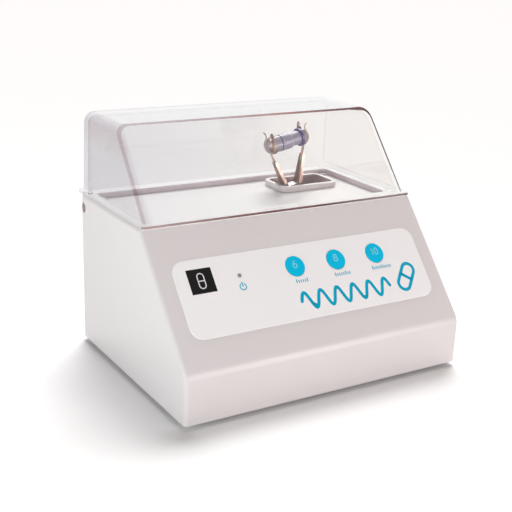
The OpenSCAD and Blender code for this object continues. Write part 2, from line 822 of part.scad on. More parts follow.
module fork_hub() {
    color([0.62, 0.62, 0.63]) placed() in_fork() difference() {
        union() {
            x_cylinder(hub_r, -hub_b / 2, hub_b / 2);
            translate([-neck_t, -neck_b / 2, hub_r - 4]) cube([2 * neck_t, neck_b, neck_top - hub_r + 4]);
            translate([-2.5, -3.5, -tail_w]) cube([5, 7, tail_w - hub_r + 3]);
            translate([0, 0, -tail_w - spigot_h]) cylinder(r = spigot_r, h = spigot_h + 1);
        }
        x_cylinder(bearing_r, -hub_b / 2 + lip_t, hub_b);
        x_cylinder(bearing_r - 1.6, -hub_b, hub_b);
        at_arm_bolts() x_cylinder(arm_bolt_r, -10, 10);
    }
}

module fork_bearing_outer() {
    color([0.80, 0.81, 0.82]) placed() in_fork() turned() difference() {
        translate([sleeve_r, -bearing_b / 2]) square([bearing_r - sleeve_r, bearing_b]);
        circle(inner_r + 2 * fit);
    }
}

// A point of the bent arm, seen from the front: so far along the splayed part, and so far inside its outer face
function arm_point(along, inside) = [arm_u + along * sin(arm_splay) - inside * cos(arm_splay),
                                     arm_bend_w + along * cos(arm_splay) + inside * sin(arm_splay)];
function arm_bend(inside) = [arm_u - inside, arm_bend_w + inside * tan(arm_splay / 2)];

// Bent strip between two depths below the outer face, with its own inner depth at the tip
module arm_strip(depth0, depth1, tip_depth1, low, along) {
    rotate([90, 0, 0]) translate([0, 0, -arm_root_b]) linear_extrude(2 * arm_root_b)
        polygon([[arm_u - depth0, low], arm_bend(depth0), arm_point(along, depth0),
                 arm_point(along, tip_depth1), arm_bend(depth1), [arm_u - depth1, low]]);
}

// Outline of the arm seen from the side: even at the root, then narrower up to the tip
module arm_outline(root, tip) {
    top_w = arm_bend_w + arm_len;
    rotate([90, 0, 90]) translate([0, 0, -20]) linear_extrude(60)
        polygon([[-root / 2, 0], [root / 2, 0], [root / 2, arm_bend_w], [tip / 2, top_w],
                 [-tip / 2, top_w], [-root / 2, arm_bend_w]]);
}

arm_low = hub_r + 0.6;
rivet_z = arm_len - 3.4;
rivet_r = 0.7;

module in_arm() {
    translate([arm_u, 0, arm_bend_w]) rotate([0, arm_splay, 0]) children();
}

module arm() {
    color(colour_metal) difference() {
        intersection() {
            arm_strip(0, arm_flange, tip_flange, arm_low, arm_len);
            arm_outline(arm_root_b, arm_tip_b);
        }
        intersection() {
            arm_strip(arm_t, arm_flange + 2, arm_flange + 2, arm_low - 1, arm_len + 1);
            arm_outline(arm_root_b - 2 * arm_t, arm_tip_b - 2 * arm_t);
        }
        at_arm_bolts() x_cylinder(arm_bolt_r, 0, 10);
        in_arm() translate([0, 0, rivet_z]) x_cylinder(rivet_r, -5, 5);
    }
}

module right_arm() { placed() in_fork() arm(); }

module left_arm() { placed() in_fork() mirror([1, 0, 0]) arm(); }

module arm_bolts() {
    color(colour_steel) placed() in_fork() at_arm_bolts() {
        x_cylinder(arm_bolt_r, -arm_u - 2.2, arm_u);
        x_cylinder(arm_bolt_r + 0.9, arm_u, arm_u + 1.4);
    }
}

module arm_nuts() {
    color(colour_steel) placed() in_fork() at_arm_bolts() translate([-arm_u - 1.8, 0, 0]) difference() {
        rotate([0, 90, 0]) cylinder(r = 2.1, h = 1.8, $fn = 6);
        x_cylinder(arm_bolt_r, -1, 3);
    }
}

// Claw: two leaf-shaped petals cut from a tulip that cups the capsule's domed end. Both claws are the same
// pressing, twisted a little about its stem, and the left one is turned half round.
cup_inner_r = dome_r + 0.1;
cup_mid_r = cup_inner_r + claw_t / 2;
flare_start = 35;
flare_r = 5;
flare_sweep = 82;
petal_turn = 45;
claw_twist = 13;
petal_tip = 10.6;
claw_stem_h = 16;
cup_u = capsule_len / 2 - dome_r;

// Outline of the tulip's sheet: a cup, then a curl the other way that flares out again
flare_centre = [(cup_mid_r + flare_r) * cos(flare_start), (cup_mid_r + flare_r) * sin(flare_start)];
flare_end = 180 + flare_start - flare_sweep;
cup_start = -80;
function arc_points(centre, r, a0, a1, steps) = [for (k = [0 : steps])
    let (a = a0 + (a1 - a0) * k / steps) [centre[0] + r * cos(a), centre[1] + r * sin(a)]];

module tulip() {
    half_t = claw_t / 2;
    rotate_extrude() polygon(concat(
        arc_points([0, 0], cup_mid_r + half_t, cup_start, flare_start, 12),
        arc_points(flare_centre, flare_r - half_t, 180 + flare_start, flare_end, 8),
        arc_points(flare_centre, flare_r + half_t, flare_end, 180 + flare_start, 8),
        arc_points([0, 0], cup_mid_r - half_t, flare_start, cup_start, 12)));
}

// Half of the leaf's outline: [share of half the petal's width, height above the cup's centre]
petal_edge = [[0.45, -9], [0.8, -6.8], [1, -4.8], [0.96, -2.4], [0.86, 0], [0.7, 3], [0.54, 6], [0.4, 8.5], [0.2, petal_tip]];
module petal_mask() {
    rotate([90, 0, 90]) linear_extrude(15) polygon(concat(
        [for (p = petal_edge) [p[0] * petal_b / 2, p[1]]],
        [for (k = [len(petal_edge) - 1 : -1 : 0]) [-petal_edge[k][0] * petal_b / 2, petal_edge[k][1]]]));
}

stem_b = arm_tip_b - 2 * arm_t - 0.3;
module claw(twist) {
    color(colour_metal) difference() {
        union() {
            translate([cup_u, 0, capsule_w]) intersection() {
                tulip();
                union() {
                    rotate([0, 0, twist + petal_turn]) petal_mask();
                    rotate([0, 0, twist - petal_turn]) petal_mask();
                }
                translate([0, -20, -20]) cube(40);
            }
            difference() {
                in_arm() translate([-arm_t - claw_t, -stem_b / 2, rivet_z - 3]) cube([claw_t, stem_b, claw_stem_h]);
                translate([cup_u, 0, capsule_w]) sphere(cup_mid_r);
            }
        }
        in_arm() translate([0, 0, rivet_z]) x_cylinder(rivet_r, -5, 5);
    }
}

module right_claw() { placed() in_fork() claw(claw_twist); }

module left_claw() { placed() in_fork() mirror([1, 0, 0]) claw(-claw_twist); }

module claw_rivets() {
    color(colour_steel) placed() in_fork() both_sides() in_arm() translate([0, 0, rivet_z]) {
        x_cylinder(rivet_r, -arm_t - claw_t, 0);
        x_cylinder(rivet_r + 0.5, 0, 0.5);
        x_cylinder(rivet_r + 0.4, -arm_t - claw_t - 0.4, -arm_t - claw_t);
    }
}

// Capsule: a domed body with a groove and a step, closed by a domed cap with a collar
groove_u = -7.1;
groove_b = 0.7;
groove_t = 0.6;
step_u = 2;
step_t = 0.5;
rim_t = 1.3;
cap_u = cup_u - rim_t - 0.1;
module in_capsule() {
    placed() in_fork() translate([0, 0, capsule_w]) children();
}

module capsule_body() {
    color(colour_capsule) in_capsule() turned() {
        translate([0, -cup_u]) intersection() {
            circle(dome_r);
            translate([0, -dome_r]) square([dome_r, dome_r]);
        }
        translate([0, -cup_u]) square([dome_r, groove_u + cup_u]);
        translate([0, groove_u]) square([dome_r - groove_t, groove_b]);
        translate([0, groove_u + groove_b]) square([barrel_r, step_u - groove_u - groove_b]);
        translate([0, step_u]) square([neck_r, cap_u - step_u]);
        polygon([[0, step_u], [barrel_r, step_u], [neck_r, step_u + step_t], [0, step_u + step_t]]);
    }
}

module capsule_cap() {
    color([0.36, 0.27, 0.46]) in_capsule() turned() {
        translate([0, cap_u]) square([rim_r, rim_t]);
        intersection() {
            translate([0, cup_u]) circle(dome_r);
            translate([0, cap_u + rim_t]) square([dome_r, dome_r + 1]);
        }
    }
}

// Fork spring: holds the hub's tail against turning with the shaft
spring_foot_x = 0;
post_stem_r = 2;
post_head_r = 3;
post_low = bracket_low + bracket_t;
spring_wire_r = 0.5;
spring_r = 3;
spring_turns = 14;
spring_top_w = tail_w + spring_wire_r + 0.5;
spring_low = [0, 0, post_low + 1.5 + spring_wire_r + 0.6];
spring_top = [spring_top_w * sin(fork_lean), 0, -spring_top_w * cos(fork_lean)];

module spring_post() {
    color(colour_steel) placed() at_pivot() translate([spring_foot_x, 0, 0]) {
        translate([0, 0, bracket_low]) cylinder(r = post_stem_r, h = bracket_t + 1);
        translate([0, 0, post_low]) cylinder(r = post_head_r, h = 1.5);
        translate([0, 0, post_low + 1.5]) cylinder(r = spigot_r, h = 4.2);
    }
}

// Rings of the tube round a helix between two points; the wire's section has eight sides
spring_axis = (spring_top - spring_low) / norm(spring_top - spring_low);
spring_len = norm(spring_top - spring_low);
spring_lean = atan2(spring_axis[0], spring_axis[2]);
ring_sides = 6;
ring_steps = 8;
function helix_point(t) = [spring_r * cos(360 * t * spring_turns), spring_r * sin(360 * t * spring_turns), spring_len * t];
function helix_ring(t) = [for (k = [0 : ring_sides - 1])
    let (a = 360 * k / ring_sides, turn = 360 * t * spring_turns, p = helix_point(t))
        [p[0] + spring_wire_r * cos(a) * cos(turn), p[1] + spring_wire_r * cos(a) * sin(turn), p[2] + spring_wire_r * sin(a)]];

module fork_spring() {
    count = spring_turns * ring_steps;
    points = [for (i = [0 : count], p = helix_ring(i / count)) p];
    sides = [for (i = [0 : count - 1], k = [0 : ring_sides - 1])
        let (n = (k + 1) % ring_sides, a = i * ring_sides, b = a + ring_sides) each
            [[a + k, a + n, b + n], [a + k, b + n, b + k]]];
    first = [for (k = [1 : ring_sides - 2]) [0, k + 1, k]];
    last = [for (k = [1 : ring_sides - 2]) let (b = count * ring_sides) [b, b + k, b + k + 1]];
    echo(least_gap_between_turns = spring_len / spring_turns - 2 * spring_wire_r);
    color(colour_steel) placed() at_pivot() translate(spring_low) rotate([0, spring_lean, 0])
        polyhedron(points, concat(sides, first, last));
}

// Transformer on the base plate, left of the motor's lower half
small_screw_r = 1.5;
trafo_w = 46;
trafo_d = 30;
trafo_h = 40;
trafo_x = -52;
trafo_y = 72;
trafo_foot = 8;

module at_transformer() {
    translate([trafo_x, trafo_y, base_t]) children();
}

module at_transformer_screws() {
    for (side = [-1, 1])
        translate([trafo_x + side * (trafo_w / 2 + trafo_foot / 2), trafo_y, 0]) children();
}

module transformer_core() {
    window_w = 7;
    window_h = trafo_h - 18;
    color([0.42, 0.42, 0.44]) placed() difference() {
        at_transformer() {
            translate([-trafo_w / 2, -trafo_d / 2, 0]) cube([trafo_w, trafo_d, trafo_h]);
            translate([-trafo_w / 2 - trafo_foot, -trafo_d / 2, 0]) cube([trafo_w + 2 * trafo_foot, trafo_d, 2]);
        }
        at_transformer() for (side = [-1, 1])
            translate([side * 12 - window_w / 2, -trafo_d, 9]) cube([window_w, 2 * trafo_d, window_h]);
        at_transformer_screws() cylinder(r = small_screw_r, h = base_t + 5);
    }
}

module transformer_winding() {
    window_h = trafo_h - 18;
    color([0.72, 0.42, 0.22]) placed() at_transformer() difference() {
        translate([-15, -trafo_d / 2 - 6, 9.2]) cube([30, trafo_d + 12, window_h - 0.4]);
        translate([-8.5, -trafo_d / 2, 0]) cube([17, trafo_d, trafo_h]);
    }
}

module transformer_screws() {
    color(colour_steel) placed() at_transformer_screws() {
        cylinder(r = small_screw_r, h = base_t + 2);
        translate([0, 0, base_t + 2]) cylinder(r = 2.75, h = 2);
    }
}

// Power board in front of the motor, on four spacers of its screws
pb_x = 10;
pb_y = 62;
pb_w = 54;
pb_d = 50;
pb_lift = 6;
module at_power_board_holes() {
    for (sx = [-1, 1], sy = [-1, 1])
        translate([pb_x + sx * (pb_w / 2 - 4), pb_y + sy * (pb_d / 2 - 4), 0]) children();
}

module power_board() {
    color([0.12, 0.36, 0.24]) placed() difference() {
        union() {
            translate([pb_x - pb_w / 2, pb_y - pb_d / 2, base_t + pb_lift]) cube([pb_w, pb_d, board_t]);
            at_power_board_holes() translate([0, 0, base_t]) cylinder(r = 3, h = pb_lift + eps);
        }
        at_power_board_holes() cylinder(r = small_screw_r, h = 30);
    }
}

module power_parts() {
    top = base_t + pb_lift + board_t;
    color([0.20, 0.22, 0.40]) placed() {
        translate([pb_x - 14, pb_y - 10, top]) cylinder(r = 7, h = 22);
        translate([pb_x + 6, pb_y - 10, top]) cylinder(r = 5, h = 16);
        translate([pb_x - 18, pb_y + 4, top]) cube([18, 15, 14]);
        translate([pb_x + 4, pb_y + 6, top]) cube([14, 4, 18]);
    }
}

module power_board_screws() {
    color(colour_steel) placed() at_power_board_holes() {
        cylinder(r = small_screw_r, h = base_t + pb_lift + board_t);
        translate([0, 0, base_t + pb_lift + board_t]) cylinder(r = 2.6, h = 1.8);
    }
}

// Back: mains inlet, fuse holder and power switch
inlet_flange = 2.2;
inlet_depth = 20;
module mains_inlet() {
    color(colour_dark) placed() translate([inlet_x, body_d, socket_z]) difference() {
        union() {
            translate([-inlet_w / 2 - 2, 0, -inlet_h / 2 - 2]) cube([inlet_w + 4, inlet_flange, inlet_h + 4]);
            translate([-inlet_w / 2, -inlet_depth, -inlet_h / 2]) cube([inlet_w, inlet_depth + eps, inlet_h]);
        }
        translate([0, inlet_flange + 1, 0]) rotate([90, 0, 0]) linear_extrude(inlet_depth)
            polygon([[-12.2, -8.2], [12.2, -8.2], [12.2, 4.4], [8.4, 8.2], [-8.4, 8.2], [-12.2, 4.4]]);
        for (p = contact_places)
            translate([p[0] - 1, -inlet_depth - 1, p[1] - 2]) cube([2, inlet_depth, 4]);
    }
}

contact_places = [[-7, -2], [7, -2], [0, 2]];
module inlet_contacts() {
    color(colour_steel) placed() translate([inlet_x, body_d, socket_z]) for (p = contact_places)
        translate([p[0] - 1, -inlet_depth - 5, p[1] - 2]) cube([2, inlet_depth + 3, 4]);
}

module fuse_holder() {
    color(colour_dark) placed() translate([fuse_x, body_d, socket_z]) rotate([90, 0, 0]) difference() {
        union() {
            translate([0, 0, -2]) cylinder(r = fuse_r + 2, h = 2);
            translate([0, 0, -5.4]) cylinder(r = fuse_r - 0.2, h = 4);
            cylinder(r = fuse_r, h = 22);
            translate([0, 0, wall_t]) cylinder(r = fuse_r + 2.4, h = 2.4, $fn = 6);
        }
        translate([-4.5, -0.6, -6]) cube([9, 1.2, 1.6]);
    }
}

// Power switch: a frame that snaps into the wall, and a rocker on two trunnions
frame_flange = 2;
rocker_w = 8.8;
well_w = rocker_w + 2 * gap;
well_h = 17;
rocker_y = frame_flange - 2.2;
trunnion_r = 1.2;

module switch_frame() {
    color(colour_dark) placed() translate([switch_x, body_d, socket_z]) difference() {
        union() {
            translate([-switch_w / 2 - 1.5, 0, -switch_h / 2 - 1.5]) cube([switch_w + 3, frame_flange, switch_h + 3]);
            translate([-switch_w / 2, -14, -switch_h / 2]) cube([switch_w, 14 + eps, switch_h]);
        }
        translate([-well_w / 2, -9, -well_h / 2]) cube([well_w, 20, well_h]);
        translate([0, rocker_y, 0]) x_cylinder(trunnion_r + fit, -rocker_w / 2 - 1.6, rocker_w / 2 + 1.6);
    }
}

module power_rocker() {
    color([0.10, 0.10, 0.11]) placed() translate([switch_x, body_d + rocker_y, socket_z]) {
        rotate([-rocker_tip, 0, 0]) translate([-rocker_w / 2, 0, 0]) rotate([90, 0, 90]) linear_extrude(rocker_w) {
            circle(4.6);
            polygon([[-1, -7.2], [3.8, -7.5], [2.6, 0], [3.8, 7.5], [-1, 7.2]]);
        }
        x_cylinder(trunnion_r, -rocker_w / 2 - 1.4, rocker_w / 2 + 1.4);
    }
}

housing();
base_plate();
base_screws();
feet();
keypad_overlay();
button_6s();
button_8s();
button_10s();
status_lamp();
control_board();
key_switches();
board_screws();
lid();
lid_magnet();
lid_sensor();
hinge_pins();
motor_can();
motor_end_cap();
motor_screws();
motor_bracket();
isolators();
isolator_bolts();
bearing_cup();
end_bearing();
cup_screws();
drive_shaft();
motor_rotor();
oblique_sleeve();
sleeve_set_screw();
fork_bearing_inner();
fork_hub();
fork_bearing_outer();
left_arm();
right_arm();
arm_bolts();
arm_nuts();
left_claw();
right_claw();
claw_rivets();
capsule_body();
capsule_cap();
fork_spring();
spring_post();
transformer_core();
transformer_winding();
transformer_screws();
power_board();
power_parts();
power_board_screws();
mains_inlet();
inlet_contacts();
fuse_holder();
switch_frame();
power_rocker();
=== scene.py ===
import math
import bpy
import bmesh
from mathutils import Matrix, Vector


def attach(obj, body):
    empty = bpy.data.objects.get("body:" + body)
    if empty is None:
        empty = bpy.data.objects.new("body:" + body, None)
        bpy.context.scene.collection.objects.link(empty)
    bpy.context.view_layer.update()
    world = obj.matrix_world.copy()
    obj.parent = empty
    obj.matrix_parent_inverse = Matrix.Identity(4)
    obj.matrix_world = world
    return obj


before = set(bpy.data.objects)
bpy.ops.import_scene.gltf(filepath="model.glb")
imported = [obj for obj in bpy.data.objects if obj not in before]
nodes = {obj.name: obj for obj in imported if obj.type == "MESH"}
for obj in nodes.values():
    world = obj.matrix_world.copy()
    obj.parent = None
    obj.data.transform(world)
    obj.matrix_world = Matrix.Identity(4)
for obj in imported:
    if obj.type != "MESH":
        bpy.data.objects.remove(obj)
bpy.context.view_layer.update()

# Camera: a long lens that looks from the front left and a little above, as in the photograph.
# The lens is worked out for a picture 512 pixels wide.
camera_place = Vector((-0.363736, -0.566094, 0.295604))
camera_azimuth = math.radians(-32.010)
camera_elevation = math.radians(18.339)
camera_roll = math.radians(2.213)
focal_pixels = 986.921
picture_pixels = 512
sensor_mm = 36.0

view_back = Vector((math.sin(camera_azimuth) * math.cos(camera_elevation),
                    -math.cos(camera_azimuth) * math.cos(camera_elevation),
                    math.sin(camera_elevation)))
view_right = Vector((math.cos(camera_azimuth), math.sin(camera_azimuth), 0.0))
view_up = view_back.cross(view_right)
rolled_right = math.cos(camera_roll) * view_right + math.sin(camera_roll) * view_up
rolled_up = -math.sin(camera_roll) * view_right + math.cos(camera_roll) * view_up
camera_data = bpy.data.cameras.new("camera")
camera_data.sensor_width = sensor_mm
camera_data.lens = focal_pixels / picture_pixels * sensor_mm
camera_data.clip_start = 0.01
camera_data.clip_end = 20.0
camera = bpy.data.objects.new("camera", camera_data)
bpy.context.scene.collection.objects.link(camera)
turn = Matrix((rolled_right, rolled_up, view_back)).transposed()
camera.matrix_world = Matrix.Translation(camera_place) @ turn.to_4x4()
bpy.context.scene.camera = camera
bpy.context.scene.view_settings.view_transform = "Standard"


# Housing: one white moulded shell with a fine satin grain, smoother where the mould was polished for the
# deck. It carries everything else: the lid is hinged to it, and the base plate closes it from below.
# Faces that look up are painted a paler, cooler white for the light that falls on them. The recess walls are
# painted pinker mauve for the shade in the recess, and the collar's outer walls are painted much paler as
# painted light.
# The walls of the well under the opening are painted a darker mauve as painted shade.
def srgb(red, green, blue):
    """A screen colour, 0 to 255, as Blender's linear colour."""
    parts = [v / 255.0 for v in (red, green, blue)]
    return tuple(v / 12.92 if v <= 0.04045 else ((v + 0.055) / 1.055) ** 2.4 for v in parts) + (1.0,)


def link(source, target):
    source.id_data.links.new(source, target)


def add_node(tree, kind, operation=None):
    node = tree.nodes.new(kind)
    if operation:
        node.operation = operation
    return node


def remap(source, from_min, from_max, to_min=0.0, to_max=1.0):
    """A clamped straight-line change of range. From high to low it makes a mask that fades out."""
    node = add_node(source.id_data, "ShaderNodeMapRange")
    for key, value in (("From Min", from_min), ("From Max", from_max),
                       ("To Min", to_min), ("To Max", to_max)):
        node.inputs[key].default_value = value
    link(source, node.inputs["Value"])
    return node.outputs["Result"]


def maths(operation, *terms):
    """One operation on outputs and numbers, with at least one output among them."""
    tree = next(term for term in terms if not isinstance(term, float)).id_data
    node = add_node(tree, "ShaderNodeMath", operation)
    for socket, value in zip(node.inputs, terms):
        if isinstance(value, float):
            socket.default_value = value
        else:
            link(value, socket)
    return node.outputs[0]


def times(*masks):
    """All the masks multiplied, so that only what lies in every one of them is left."""
    product = masks[0]
    for mask in masks[1:]:
        product = maths("MULTIPLY", product, mask)
    return product


def greatest(*masks):
    """Whatever lies in at least one of the masks."""
    top = masks[0]
    for mask in masks[1:]:
        top = maths("MAXIMUM", top, mask)
    return top


def outside(mask):
    return maths("SUBTRACT", 1.0, mask)


def blend(mask, low, high):
    """Two colours or colour outputs mixed by a mask."""
    node = add_node(mask.id_data, "ShaderNodeMix")
    node.data_type = "RGBA"
    link(mask, node.inputs["Factor"])
    for socket, value in ((node.inputs[6], low), (node.inputs[7], high)):
        if isinstance(value, tuple):
            socket.default_value = value
        else:
            link(value, socket)
    return node.outputs[2]


def place_and_turn(tree):
    """Place and normal of a CAD node, each as X, Y and Z outputs."""
    coords = add_node(tree, "ShaderNodeTexCoord")
    parts = []
    for output in ("Object", "Normal"):
        split = add_node(tree, "ShaderNodeSeparateXYZ")
        link(coords.outputs[output], split.inputs["Vector"])
        parts.append(split.outputs)
    return parts


def make_grain_group():
    """Moulded or cast grain: a slow patchy tint, a fine height, and a roughness that follows the height."""
    group = bpy.data.node_groups.new("surface_grain", "ShaderNodeTree")
    for socket_name, kind in (("Colour", "Color"), ("Shade", "Color"), ("Patch Scale", "Float"),
                              ("Patch Amount", "Float"), ("Grain Scale", "Float"), ("Roughness", "Float")):
        group.interface.new_socket(socket_name, in_out="INPUT", socket_type="NodeSocket" + kind)
    for socket_name, kind in (("Colour", "Color"), ("Roughness", "Float"), ("Height", "Float")):
        group.interface.new_socket(socket_name, in_out="OUTPUT", socket_type="NodeSocket" + kind)
    entry = add_node(group, "NodeGroupInput").outputs
    result = add_node(group, "NodeGroupOutput").inputs
    coords = add_node(group, "ShaderNodeTexCoord")
    patches = add_node(group, "ShaderNodeTexNoise")
    patches.inputs["Detail"].default_value = 3.0
    grain = add_node(group, "ShaderNodeTexNoise")
    grain.inputs["Detail"].default_value = 2.0
    for noise, scale in ((patches, "Patch Scale"), (grain, "Grain Scale")):
        link(coords.outputs["Object"], noise.inputs["Vector"])
        link(entry[scale], noise.inputs["Scale"])
    patchiness = times(patches.outputs["Fac"], entry["Patch Amount"])
    roughness_swing = 0.05
    unevenness = remap(grain.outputs["Fac"], 0.0, 1.0, -roughness_swing, roughness_swing)
    link(blend(patchiness, entry["Colour"], entry["Shade"]), result["Colour"])
    link(maths("ADD", unevenness, entry["Roughness"]), result["Roughness"])
    link(grain.outputs["Fac"], result["Height"])
    return group


def shader_of(material):
    return material.node_tree.nodes["Principled BSDF"]


def new_finish(name, colour, roughness, metallic=0.0):
    """A material with one colour and one roughness."""
    material = bpy.data.materials.new(name)
    material.use_nodes = True
    shader = shader_of(material)
    shader.inputs["Base Color"].default_value = colour
    shader.inputs["Roughness"].default_value = roughness
    shader.inputs["Metallic"].default_value = metallic
    return material


surface_grain = make_grain_group()
grain_node = "grain"


def grained(name, colour, shade, roughness, metallic=0.0, patch_scale=30.0, patch_amount=0.6,
            grain_scale=1500.0, grain_height=0.00002):
    """A finish with the shared grain. Its colour drifts towards shade, and the grain is grain_height deep."""
    material = new_finish(name, colour, roughness, metallic)
    shader = shader_of(material)
    grain = add_node(material.node_tree, "ShaderNodeGroup")
    grain.name = grain_node
    grain.node_tree = surface_grain
    for key, value in (("Colour", colour), ("Shade", shade), ("Patch Scale", patch_scale),
                       ("Patch Amount", patch_amount), ("Grain Scale", grain_scale),
                       ("Roughness", roughness)):
        grain.inputs[key].default_value = value
    bump = add_node(material.node_tree, "ShaderNodeBump")
    bump.inputs["Distance"].default_value = grain_height
    link(grain.outputs["Colour"], shader.inputs["Base Color"])
    link(grain.outputs["Roughness"], shader.inputs["Roughness"])
    link(grain.outputs["Height"], bump.inputs["Height"])
    link(bump.outputs["Normal"], shader.inputs["Normal"])
    return material


def dress(material, *names):
    """CAD nodes take this finish."""
    for name in names:
        mesh = nodes[name].data
        mesh.materials.clear()
        mesh.materials.append(material)


deck_z = 0.1045
recess_half_w, recess_front_y, recess_back_y = 0.104, -0.0135, 0.077
well_x, well_y = 0.060, 0.05065
well_half_w, well_half_d = 0.0226, 0.0126
collar_w, collar_h = 0.004, 0.0065
edge_fade, well_fade = 0.0005, 0.0004
nearly_up = (0.90, 0.97)
polished_share = 0.25

white_moulding = grained("white_moulding", srgb(225, 218, 218), srgb(220, 213, 213), 0.36,
                         patch_scale=9.0, grain_scale=2600.0, grain_height=0.000012)
white_shader = shader_of(white_moulding)
white_grain = white_moulding.node_tree.nodes[grain_node].outputs
white_place, white_turn = place_and_turn(white_moulding.node_tree)
faces_up = remap(white_turn["Z"], *nearly_up)
upright = outside(faces_up)
polished = times(faces_up, remap(white_place["Z"], deck_z + 3 * edge_fade, deck_z + edge_fade))
off_well_x = maths("ABSOLUTE", maths("SUBTRACT", white_place["X"], well_x))
off_well_y = maths("ABSOLUTE", maths("SUBTRACT", white_place["Y"], well_y))
well_painted_shade = times(upright,
                  remap(off_well_x, well_half_w + well_fade, well_half_w),
                  remap(off_well_y, well_half_d + well_fade, well_half_d),
                  remap(white_place["Z"], deck_z + collar_h + 2 * edge_fade, deck_z + collar_h))
beyond_x = well_half_w + collar_w
beyond_y = well_half_d + collar_w
off_collar = greatest(remap(off_well_x, beyond_x, beyond_x + 2 * edge_fade),
                      remap(off_well_y, beyond_y, beyond_y + 2 * edge_fade))
collar_painted_light = times(upright, outside(off_collar),
                    remap(white_place["Z"], deck_z - edge_fade, deck_z))
recess_painted_shade = times(upright, off_collar,
                    remap(white_place["Z"], deck_z - edge_fade, deck_z + edge_fade),
                    remap(maths("ABSOLUTE", white_place["X"]),
                          recess_half_w + edge_fade, recess_half_w - edge_fade),
                    remap(white_place["Y"], recess_front_y - 3 * edge_fade, recess_front_y + 3 * edge_fade),
                    remap(white_place["Y"], recess_back_y + edge_fade, recess_back_y - edge_fade))
white_colour = white_grain["Colour"]
# Painted light and shade: paler tops, pinker mauve recess walls, paler collar walls, darker mauve well walls
for mask, colour in ((faces_up, srgb(228, 227, 225)), (recess_painted_shade, srgb(232, 217, 223)),
                     (collar_painted_light, srgb(250, 238, 240)), (well_painted_shade, srgb(220, 192, 197))):
    white_colour = blend(mask, white_colour, colour)
link(white_colour, white_shader.inputs["Base Color"])
link(times(white_grain["Roughness"], remap(polished, 0.0, 1.0, 1.0, polished_share)),
     white_shader.inputs["Roughness"])
dress(white_moulding, "housing")


# Lid: one clear, slightly smoky moulding with a flange and two hinge lugs, polished on both faces.
# Its tint is painted light and shade: the panes are darker to the left and the left side is darker near the
# top.
# Its bent edges and the flange's cut edge carry painted dark lines, mauve at the left and dark brown to the
# right, for the refraction at the bends and the shadow under the flange.
# Each such line is found from the depth under the lid's real outer faces.
def along(vector, direction):
    """How far a place or a normal reaches in a direction."""
    node = add_node(vector.id_data, "ShaderNodeVectorMath", "DOT_PRODUCT")
    node.inputs[1].default_value = direction
    link(vector, node.inputs[0])
    return node.outputs["Value"]


def ramp(source, *stops):
    """Colour along a scale of 0 to 1."""
    node = add_node(source.id_data, "ShaderNodeValToRGB")
    elements = node.color_ramp.elements
    for k, (place, colour) in enumerate(stops):
        stop = elements[k] if k < 2 else elements.new(place)
        stop.position = place
        stop.color = colour[:3] + (1.0,)
    link(source, node.inputs["Fac"])
    return node.outputs["Color"]


lid_side_x, lid_top_z, lid_bend_r = 0.1078, 0.1697, 0.008
lid_draft = 0.01718
lid_front_n, lid_front_at = (0.0, -0.7682, 0.6402), 0.0863
lid_back_n, lid_back_at = (0.0, 0.99985, 0.01718), 0.0872
flange_low_z, flange_top_z, flange_front_y = 0.1120, 0.1140, -0.0209
scale_x, scale_z = (-0.11, 0.11), (0.112, 0.170)
left_line, top_line, right_line, back_line = 0.0018, 0.0011, 0.0022, 0.0012
left_bend_x, right_bend_x = (-0.100, -0.095), (0.085, 0.100)
left_side_x, right_sheet_x, right_foot_x = (-0.0985, -0.1025), (0.090, 0.094), (0.095, 0.100)
foot_height, back_line_foot = (0.35, 0.0), (0.001, 0.004)
roof_up, flat_enough = (0.97, 0.99), (0.985, 0.998)
haze_spread, haze_roughness = (0.45, 0.75), (0.006, 0.02)
sheet_depth, line_fade = 0.00245, 0.0003
cut_edge_h, cut_edge_d, cut_fade = 0.0015, 0.0010, 0.0002

lid_clear = new_finish("lid_clear", (0.88, 0.88, 0.89, 1.0), 0.01)
lid_tree = lid_clear.node_tree
lid_shader = shader_of(lid_clear)
lid_shader.inputs["Transmission Weight"].default_value = 1.0
lid_shader.inputs["IOR"].default_value = 1.001
lid_shader.inputs["Coat IOR"].default_value = 1.45
lid_shader.inputs["Coat Roughness"].default_value = 0.02
lid_coords = add_node(lid_tree, "ShaderNodeTexCoord")
lid_place, lid_turn = place_and_turn(lid_tree)

# Height over the bent skin of sides and top, and over the front and back planes: below 0 inside the sheet
beside = maths("ADD", maths("ABSOLUTE", lid_place["X"]),
               maths("MULTIPLY_ADD", lid_place["Z"], lid_draft, lid_bend_r - lid_side_x))
above = maths("ADD", lid_place["Z"], lid_bend_r - lid_top_z)
corner = maths("SQRT", maths("ADD", maths("POWER", maths("MAXIMUM", beside, 0.0), 2.0),
                             maths("POWER", maths("MAXIMUM", above, 0.0), 2.0)))
skin = maths("ADD", corner, maths("MINIMUM", maths("MAXIMUM", beside, above), 0.0))
skin = maths("SUBTRACT", skin, lid_bend_r)
front_skin = maths("SUBTRACT", along(lid_coords.outputs["Object"], lid_front_n), lid_front_at)
back_skin = maths("SUBTRACT", along(lid_coords.outputs["Object"], lid_back_n), lid_back_at)
across = remap(lid_place["X"], *scale_x)
upward = remap(lid_place["Z"], *scale_z)

